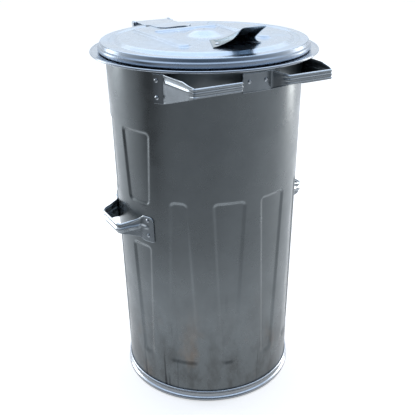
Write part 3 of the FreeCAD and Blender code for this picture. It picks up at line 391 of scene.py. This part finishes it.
# ---------------------------------------------------------------- lid

LID_RIBS = ((98, 20, 13, 125), (-98, 20, 13, 125), (0, 86, 80, 7))      # middle and half sizes
RIB_HEIGHT, RIB_EDGE, PANEL_RADIUS = 4.6, 7.0, 190


def lid_rise(rings):
    """Raise the ribs out of the lid's panel."""
    x, y, z = rings[..., 0], rings[..., 1], rings[..., 2]
    level = np.clip((z - 826.0) / 3.0, 0, 1) * (np.hypot(x, y) < PANEL_RADIUS)
    rise = np.zeros(x.shape)
    for middle_x, middle_y, half_x, half_y in LID_RIBS:
        away = rounded_box_distance(x - middle_x, y - middle_y, half_x, half_y,
                                    min(half_x, half_y) - 0.5)
        rise = np.maximum(rise, RIB_HEIGHT * smooth(0.5 - away / RIB_EDGE))
    rings = rings.copy()
    rings[..., 2] = z + rise * level
    return rings


def make_lid():
    def face(inset):
        """One face of the pressing, from the rim to the middle."""
        corners = [(232.4 - inset, 812.2 + inset * 0.4), (234.5 - inset, 814.6, 1.5),
                   (234.5 - inset, 821.6, 1.8), (231.3 - inset, 824.6, 1.6),
                   (228.3 - inset, 832.5 - inset, 4.0), (211.5, 832.5 - inset, 4.0),
                   (207.0, 830.2 - inset, 4.0), (199.0, 830.2 - inset, 4.0),
                   (188.0, 835.9 - inset, 12.0), (48.0, 838.0 - inset, 60.0),
                   (20.0, 849.2 - inset, 30.0), (2.0, 850.0 - inset)]
        return rounded(corners, step=3.0)
    section = np.concatenate([face(0), face(GAUGE)[::-1]])
    lid = turned("lid_pressing", section, LID, 512, lid_rise, sharp=50)
    stands_for(lid, "lid_shell", "lid")


# ---------------------------------------------------------------- bent and formed strips

def bend(before, corner, after, radius, parts=6):
    """The arc that rounds one corner of a route."""
    before, corner, after = (np.array(place, dtype=float) for place in (before, corner, after))
    back, onward = before - corner, after - corner
    back /= np.linalg.norm(back)
    onward /= np.linalg.norm(onward)
    half = math.acos(np.clip(np.dot(back, onward), -1, 1)) / 2
    centre = corner + (back + onward) / np.linalg.norm(back + onward) * radius / math.sin(half)
    first = corner + back * radius / math.tan(half) - centre
    last = corner + onward * radius / math.tan(half) - centre
    turn = math.atan2(first[0] * last[1] - first[1] * last[0], np.dot(first, last))
    angles = np.linspace(0, turn, parts + 1)[:, None]
    return centre + first * np.cos(angles) + np.array([-first[1], first[0]]) * np.sin(angles)


def route(*runs):
    """Joins runs of points. A number asks for that many points between its neighbours."""
    points = []
    for index, run in enumerate(runs):
        if isinstance(run, int):
            shares = np.linspace(0, 1, run + 2)[1:-1, None]
            run = runs[index - 1][-1] * (1 - shares) + runs[index + 1][0] * shares
        points.append(run)
    return np.concatenate(points)


def ridge(place, middle, width):
    """A rounded ridge of height 1."""
    return np.exp(-((place - middle) / width) ** 2)


EDGE_SHARES = np.concatenate([[0, 0.010, 0.028], np.linspace(0.05, 0.95, 47), [0.972, 0.990, 1]])
BAR_FACE = 252.0                         # how far out the lifting bars and the side grips stand
LOOP_ROOT, LOOP_CORNER = 34.0, 53.4      # a lifting loop's bends across the front, from its
LOOP_FAR, LOOP_END = 161.9, 170.2        # inner foot to its outer one


def formed_strip(name, low, high, routes, spans, bulge, material, flip=False):
    """A strip whose outer face follows one route at low and another at high, pressed by bulge.

    spans holds the strip's lower and upper edge at each place of the route."""
    bottom, top = spans[0][:, None], spans[1][:, None]
    height = bottom + (top - bottom) * EDGE_SHARES
    share = ((height - low) / (high - low))[..., None]
    face = routes[0][:, None] * (1 - share) + routes[1][:, None] * share
    along = np.gradient(face, axis=0)
    normal = np.stack([along[..., 1], -along[..., 0]], axis=-1)
    normal /= np.linalg.norm(normal, axis=-1, keepdims=True)
    out = bulge(face, height, bottom, top)[..., None]
    worn = np.zeros(EDGE_SHARES.size)
    worn[[0, -1]], worn[[1, -2]] = 0.7, 0.2
    worn = worn[:, None]
    outer = np.concatenate([face + normal * (out - worn), height[..., None]], axis=-1)
    inner = np.concatenate([face + normal * (out - STRIP + worn), height[..., None]], axis=-1)
    rings = np.concatenate([outer, inner[:, ::-1]], axis=1)
    if flip:
        rings = rings[:, ::-1] * np.array([-1.0, 1.0, 1.0])
    return lofted(name, rings, False, material, sharp=50)


def lifting_route(height):
    """The lifting strip's outer face in plan, from the left plate to the right one."""
    radius = shell_radius(height) + SEAT + STRIP

    def on(angle):
        angle = np.atleast_1d(angle)
        return radius * np.stack([np.sin(angle), -np.cos(angle)], axis=-1)

    first, second = math.asin(LOOP_ROOT / radius), math.asin(LOOP_END / radius)
    root, end = on(first)[0], on(second)[0]
    corner, far = (LOOP_CORNER, -BAR_FACE), (LOOP_FAR, -BAR_FACE)
    half = route(on(np.linspace(0, first - 0.03, 8)), bend(on(first - 0.03)[0], root, corner, 3, 5),
                 9, bend(root, corner, far, 5, 7), 24, bend(corner, far, end, 5, 7),
                 20, bend(far, end, on(second + 0.03)[0], 3, 5),
                 on(np.linspace(second + 0.03, math.radians(56.4), 7)))
    return np.concatenate([half[:0:-1] * (-1, 1), half])


def make_lifting_strip():
    low, high = 736.0, 797.0
    routes = lifting_route(low), lifting_route(high)
    x, y = np.abs(routes[0][:, 0]), -routes[0][:, 1]
    inner = np.clip((x - LOOP_ROOT) / (LOOP_CORNER - LOOP_ROOT), 0, 1)
    outer = np.clip((BAR_FACE - y) / 111.5, 0, 1) * (x > 150)
    bottom = 757 + 13 * inner - 34 * outer
    top = high - 7 * inner + 7 * np.clip((BAR_FACE - y) / 41, 0, 1) * (x > 150)

    def bulge(face, height, bottom, top):
        x, y = np.abs(face[..., 0]), -face[..., 1]
        bar = smooth((y - 236) / 13)
        side = smooth((x - 152) / 6) * smooth((y - 144) / 6)
        pressed = (-2.0 + 2.0 * ridge(height, 787.2, 2.2) + 1.7 * ridge(height, 779.6, 2.9)
                   + 0.9 * ridge(height, 772.6, 1.2))
        pinch = ridge(x, 160, 7) * ridge(height, 771.0, 4.0) * 1.6
        creased = 1.7 * ridge(height, 782.0, 2.2) + 0.8 * ridge(height, top - 1.6, 1.4)
        plate = 0.35 * ridge(height, top - 1.2, 1.4) + 0.35 * ridge(height, bottom + 1.2, 1.4)
        return (bar * (pressed + pinch) + (1 - bar) * side * creased
                + (1 - bar) * (1 - side) * plate)

    strip = formed_strip("lifting_strip_pressing", low, high, routes, (bottom, top), bulge, BARS)
    stands_for(strip, "lifting_strip")


def handle_route(height):
    """A side handle's outer face in plan, from its front foot to its rear foot."""
    radius = shell_radius(height) + SEAT + STRIP

    def on(offset):
        offset = np.atleast_1d(np.asarray(offset, dtype=float))
        return np.stack([np.sqrt(radius ** 2 - offset ** 2), offset], axis=-1)

    root, corner = on(-64.0)[0], (BAR_FACE, -51.6)
    half = route(on(np.linspace(-102, -71, 16)), bend(on(-71)[0], root, corner, 9, 7),
                 12, bend(root, corner, (BAR_FACE, 0.0), 21, 10))
    return route(half, 22, half[::-1] * (1, -1))


def make_side_handle(name, node, flip):
    low, high = 414.0, 476.0
    routes = handle_route(low), handle_route(high)
    side = np.abs(routes[0][:, 1])
    corner = 10      # radius of the feet's corners
    trim = corner - np.sqrt(corner ** 2 - np.clip(side - 92, 0, 9.7) ** 2)
    top = 455 + 21 * smooth((side - 49) / 30) - trim
    bottom = 429 - 15 * smooth((side - 50) / 24) + trim / 2

    def bulge(face, height, bottom, top):
        out, side = face[..., 0], np.abs(face[..., 1])
        grip = smooth((out - 211) / 18)
        middle = 439.5 + 10.5 * smooth((side - 46) / 26)
        pressed = (-3.4 + 3.4 * ridge(height, middle, 4.0) + 3.0 * ridge(height, top - 2.6, 2.3)
                   - 1.4 * smooth((middle - 6 - height) / 3))
        foot = (3.2 * ridge(height, middle, 3.6) * smooth((91 - side) / 9)
                + 0.7 * ridge(height, top - 1.8, 1.6))
        return grip * pressed + (1 - grip) * foot

    handle = formed_strip(name, low, high, routes, (bottom, top), bulge, BARS, flip)
    stands_for(handle, node)


# ---------------------------------------------------------------- lid handle and hinge strap

PULL_POINTS = np.array([      # out to the hollow's side, on over the foot, height, and lift
    (0.00, 0.00, 1.00, 0.00), (0.45, 0.00, 1.00, 0.00), (0.88, 0.00, 0.99, 0.00),
    (1.00, 0.00, 0.90, 0.00), (1.01, 0.00, 0.45, 0.00), (1.00, 0.08, 0.10, 0.25),
    (1.00, 0.18, 0.00, 0.28), (1.00, 0.38, 0.00, 0.17), (1.00, 0.56, 0.00, 0.10),
    (1.00, 0.78, 0.00, 0.03), (1.00, 1.00, 0.00, 0.00),
])


def curved(points, parts=5):
    """A smooth line through the points."""
    ends = np.concatenate([[2 * points[0] - points[1]], points, [2 * points[-1] - points[-2]]])
    shares = np.linspace(0, 1, parts, endpoint=False)[:, None]
    line = []
    for a, b, c, d in zip(ends, ends[1:], ends[2:], ends[3:]):
        cubic = 3 * (b - c) + d - a
        square = 2 * a - 5 * b + 4 * c - d
        line.append(b + 0.5 * shares * (c - a + shares * (square + shares * cubic)))
    return np.concatenate(line + [points[-1:]])


def left_of(line):
    """Unit normals on the left of a line of points."""
    along = np.gradient(line, axis=0)
    normal = np.stack([-along[:, 1], along[:, 0]], axis=1)
    return normal / np.linalg.norm(normal, axis=1, keepdims=True)


def panel_height(y):
    """The lid's panel at a distance from its middle."""
    return 838.0 - 2.0 * (abs(y) - 48) / 138


PULL_RISE, PULL_LEAN, PULL_SHEET = 44.5, 1.42, 1.5
FLARE_START = 0.7      # share of the pull's length from which its mouth widens


def make_pull():
    table = curved(PULL_POINTS)
    rings = []
    for share in np.linspace(0.04, 1, 46):
        rise = PULL_RISE * share ** 1.8
        half, flare = 18 + 7 * share, max(0.0, share - FLARE_START) / (1 - FLARE_START)
        spread = 24 + 33 * share - half
        x = table[:, 0] * half + table[:, 1] * spread
        x = x + 3.0 * flare ** 2 * np.clip((table[:, 2] - 0.75) / 0.25, 0, 1) * (table[:, 0] > 0.6)
        high = rise * (table[:, 2] + flare * table[:, 3])
        right = np.stack([x, high], axis=1)
        under = np.concatenate([right[:0:-1] * (-1, 1), right])
        over = under + left_of(under) * PULL_SHEET
        across, up = np.concatenate([under, over[::-1]]).T
        depth = 66 + 75 * share
        ground = panel_height(depth) + SEAT
        rings.append(np.stack([across, -depth - PULL_LEAN * up, ground + up], axis=1))
    pull = lofted("lid_pull", rings, False, PULL, sharp=40)
    stands_for(pull, "lid_handle", "lid")


PIN = np.array([274.0, 828.57])      # the hinge pin, behind the axis and above the floor
CURL_RADIUS = 6.08                   # outer face of the strap round the pin


def make_strap():
    flat = rounded([(124.0, panel_height(124) + SEAT + STRIP), (186.0, 838.15, 20),
                    (212.0, 834.65, 20), (268.0, 834.65)], step=2.0)
    angles = np.radians(np.linspace(90, -200, 40))
    curl = PIN + CURL_RADIUS * np.stack([np.cos(angles), np.sin(angles)], axis=1)
    path = np.concatenate([flat, curl])
    corner, end = 30, 154      # radius of the plate's front corners, and where they start
    shares = np.linspace(-1, 1, 31)
    worn = 0.6 * (np.abs(shares) > 0.99)
    rings = []
    for index, (place, up) in enumerate(zip(path, left_of(path))):
        ahead, crown = 0.0, 0.0
        if index < len(flat):
            ahead = np.clip(end - place[0], 0, 29.5)
            crown = 0.5 * (1 - shares ** 2) * smooth((262 - place[0]) / 30)
        half = 15 + math.sqrt(corner ** 2 - ahead ** 2)
        top = place + up * (crown - worn)[:, None]
        under = np.repeat((place - up * STRIP)[None], shares.size, axis=0)
        sides = np.concatenate([shares, shares[::-1]]) * half
        line = np.concatenate([top, under])
        rings.append(np.stack([sides, line[:, 0], line[:, 1]], axis=1))
    strap = lofted("hinge_strap_plate", rings, False, HINGE, sharp=50)
    stands_for(strap, "hinge_strap", "lid")


make_barrel()
make_foot_ring()
make_collar()
make_lid()
make_lifting_strip()
make_side_handle("right_handle_pressing", "right_handle", False)
make_side_handle("left_handle_pressing", "left_handle", True)
make_pull()
make_strap()

for node, material in (("bottom_plate", INSIDE), ("neck_ring", RING), ("hinge_bracket", HINGE),
                       ("hinge_pin", HARDWARE), ("hinge_washers", HARDWARE),
                       ("split_pin", HARDWARE), ("lifting_strip_rivets", HARDWARE),
                       ("left_handle_rivets", HARDWARE), ("right_handle_rivets", HARDWARE),
                       ("hinge_bracket_rivets", HARDWARE), ("lid_handle_rivets", HARDWARE)):
    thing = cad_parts[node]
    thing.data.materials.clear()
    thing.data.materials.append(material)


# ---------------------------------------------------------------- stage, light and camera

def seen_directly(tree):
    """1 for rays from the camera and through mirror-like surfaces."""
    path = tree.nodes.new("ShaderNodeLightPath").outputs
    seen = joined(tree, "MAXIMUM", path["Is Camera Ray"], path["Is Glossy Ray"])
    return joined(tree, "MAXIMUM", seen, path["Is Transmission Ray"])


def ranged(tree, value, low, high, to_low=0.0, to_high=1.0):
    node = tree.nodes.new("ShaderNodeMapRange")
    node.interpolation_type = "SMOOTHSTEP"
    node.inputs["From Min"].default_value = low
    node.inputs["From Max"].default_value = high
    node.inputs["To Min"].default_value = to_low
    node.inputs["To Max"].default_value = to_high
    tree.links.new(value, node.inputs["Value"])
    return node.outputs["Result"]


def graded(tree, value, stops):
    """A soft ramp of greys over a value from 0 to 1."""
    node = tree.nodes.new("ShaderNodeValToRGB")
    ramp = node.color_ramp
    ramp.interpolation = "EASE"
    while len(ramp.elements) < len(stops):
        ramp.elements.new(0.5)
    for element, (position, grey) in zip(ramp.elements, stops):
        element.position = position
        element.color = (grey, grey, grey, 1.0)
    tree.links.new(value, node.inputs["Fac"])
    return node.outputs["Color"]


VIEW = math.radians(28.8)      # the camera stands this far round to the left
FLOOR_TONES = ((-180, 1.0), (-140, 1.0), (-122, 0.72), (-92, 0.50), (-64, 0.33), (-30, 0.36),
               (5, 0.36), (40, 0.44), (77, 0.58), (118, 0.78), (138, 1.0), (180, 1.0))


def floor_tone(tree):
    """White in the picture, greyer outside it: a room that the sheet metal mirrors."""
    place = tree.nodes.new("ShaderNodeTexCoord")
    split = tree.nodes.new("ShaderNodeSeparateXYZ")
    tree.links.new(place.outputs["Object"], split.inputs["Vector"])
    x, y = split.outputs["X"], split.outputs["Y"]
    across = joined(tree, "SUBTRACT", joined(tree, "MULTIPLY", x, math.cos(VIEW)),
                    joined(tree, "MULTIPLY", y, math.sin(VIEW)))
    towards = joined(tree, "ADD", joined(tree, "MULTIPLY", x, -math.sin(VIEW)),
                     joined(tree, "MULTIPLY", y, -math.cos(VIEW)))
    turn = joined(tree, "ARCTAN2", across, towards)
    share = joined(tree, "ADD", joined(tree, "MULTIPLY", turn, 0.5 / math.pi), 0.5)
    tones = graded(tree, share, [(angle / 360 + 0.5, grey) for angle, grey in FLOOR_TONES])
    away = joined(tree, "SQRT", joined(tree, "ADD", joined(tree, "MULTIPLY", across, across),
                                       joined(tree, "MULTIPLY", towards, towards)), 0.0)
    corner = graded(tree, share, [(0.0, 0.0), (0.25, 0.0), (0.322, 1.0), (0.39, 0.0), (1.0, 0.0)])
    deep = joined(tree, "MULTIPLY", corner, ranged(tree, away, 1.25, 1.75, 0.0, 0.72))
    tones = joined(tree, "MULTIPLY", tones, joined(tree, "SUBTRACT", 1.0, deep))
    near = ranged(tree, away, 0.52, 0.95)
    return joined(tree, "SUBTRACT", 1.0,
                  joined(tree, "MULTIPLY", near, joined(tree, "SUBTRACT", 1.0, tones)))


def make_floor():
    mesh = bpy.data.meshes.new("floor")
    mesh.from_pydata([(-40, -40, 0), (40, -40, 0), (40, 40, 0), (-40, 40, 0)], [], [(0, 1, 2, 3)])
    floor = bpy.data.objects.new("floor", mesh)
    bpy.context.scene.collection.objects.link(floor)
    material = bpy.data.materials.new("pale_floor")
    material.use_nodes = True
    tree = material.node_tree
    shader = tree.nodes["Principled BSDF"]
    shader.inputs["Roughness"].default_value = 0.9
    shader.inputs["Specular IOR Level"].default_value = 0.1
    shader.inputs["Emission Color"].default_value = (0.56, 0.55, 0.54, 1.0)
    tone = floor_tone(tree)
    paint = mixed(tree, tone, (0.0, 0.0, 0.0, 1.0), (0.87, 0.86, 0.85, 1.0))
    tree.links.new(paint, shader.inputs["Base Color"])
    tree.links.new(joined(tree, "MULTIPLY", seen_directly(tree), tone),
                   shader.inputs["Emission Strength"])
    mesh.materials.append(material)


def add_softbox(name, place, target, size, power, color=(1.0, 1.0, 1.0)):
    light = bpy.data.lights.new(name, "AREA")
    light.shape = "RECTANGLE"
    light.size, light.size_y = size
    light.energy = power
    light.color = color
    lamp = bpy.data.objects.new(name, light)
    lamp.location = place
    aim = Vector(target) - Vector(place)
    lamp.rotation_euler = aim.to_track_quat("-Z", "Y").to_euler()
    bpy.context.scene.collection.objects.link(lamp)


def make_room():
    """A soft room: pale behind the bin and overhead, dim behind the camera."""
    world = bpy.data.worlds.new("soft_room")
    bpy.context.scene.world = world
    world.use_nodes = True
    tree = world.node_tree
    sky = tree.nodes["Background"]
    place = tree.nodes.new("ShaderNodeTexCoord")
    split = tree.nodes.new("ShaderNodeSeparateXYZ")
    tree.links.new(place.outputs["Generated"], split.inputs["Vector"])
    ahead = joined(tree, "ADD",
                   joined(tree, "MULTIPLY", split.outputs["X"], 0.84 * math.sin(VIEW)),
                   joined(tree, "MULTIPLY", split.outputs["Y"], 0.84 * math.cos(VIEW)))
    facing = joined(tree, "ADD", ahead, joined(tree, "MULTIPLY", split.outputs["Z"], 0.54))
    pale = mixed(tree, ranged(tree, split.outputs["Z"], 0.42, 0.80), (0.92, 0.96, 1.0, 1.0),
                 (0.60, 0.76, 0.98, 1.0))
    color = mixed(tree, ranged(tree, facing, -0.62, 0.62), (0.09, 0.12, 0.16, 1.0), pale)
    tree.links.new(color, sky.inputs["Color"])
    sky.inputs["Strength"].default_value = 0.93


make_floor()
make_room()
add_softbox("key", (0.5, 0.9, 3.2), (0.0, 0.0, 0.5), (4.4, 4.4), 30.0)
add_softbox("right_strip", (2.4, -0.1, 0.9), (0.0, 0.0, 0.5), (0.7, 1.8), 14.0, (1.0, 0.97, 0.94))
add_softbox("rear_strip", (-1.5, 2.0, 1.0), (0.0, 0.0, 0.6), (0.8, 1.6), 14.0, (0.92, 0.96, 1.0))


def add_camera():
    """The photo's camera, fitted to the ellipses of lid, collar and foot."""
    place = Vector((-0.74055, -1.34705, 1.10093))
    heading = math.atan2(-place.x, -place.y) + math.radians(0.1232)
    pitch, roll = math.radians(23.86), math.radians(-0.657)
    ahead = Vector((math.sin(heading) * math.cos(pitch), math.cos(heading) * math.cos(pitch),
                    -math.sin(pitch)))
    right = ahead.cross(Vector((0, 0, 1))).normalized()
    up = right.cross(ahead)
    across = right * math.cos(roll) + up * math.sin(roll)
    upward = up * math.cos(roll) - right * math.sin(roll)
    data = bpy.data.cameras.new("camera")
    data.sensor_width = 36.0
    data.lens = 59.556
    data.clip_start, data.clip_end = 0.05, 100.0
    camera = bpy.data.objects.new("camera", data)
    turn = Matrix((across, upward, -ahead)).transposed()
    camera.matrix_world = Matrix.Translation(place) @ turn.to_4x4()
    bpy.context.scene.collection.objects.link(camera)
    bpy.context.scene.camera = camera


add_camera()
bpy.context.scene.view_settings.view_transform = "Standard"
